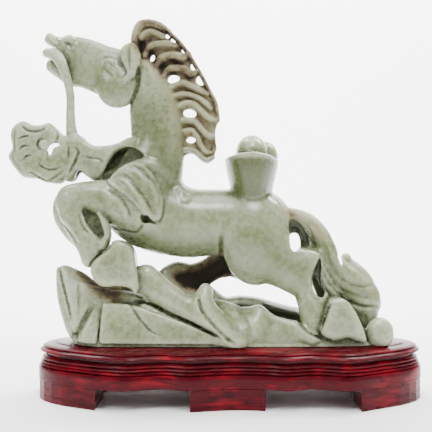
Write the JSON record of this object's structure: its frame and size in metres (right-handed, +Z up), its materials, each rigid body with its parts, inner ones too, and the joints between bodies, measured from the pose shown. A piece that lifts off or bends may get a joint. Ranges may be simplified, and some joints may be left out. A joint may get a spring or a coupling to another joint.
{
  "type": "horse sculpture",
  "caption": "Pale green stone carving of a galloping horse with a sceptre in its mouth and an ingot on its back, over rocks and waves, on a moulded dark red wooden stand.",
  "frame": {"origin": "centre of the bounding box in plan, on the surface that the feet stand on", "axes": "+X along the stand towards the horse's tail, -Y towards the viewer of the carved face, +Z up"},
  "size_m": [0.3608, 0.126, 0.3315],
  "materials": {
    "stone": "polished",
    "lacquered_wood": "gloss lacquer"
  },
  "bodies": {
    "root": {"horse": "stone", "stand_top": "lacquered_wood", "stand_apron": "lacquered_wood", "foot_front_left": "lacquered_wood", "foot_front_middle": "lacquered_wood", "foot_front_right": "lacquered_wood", "foot_back_left": "lacquered_wood", "foot_back_middle": "lacquered_wood", "foot_back_right": "lacquered_wood"}
  },
  "joints": []
}
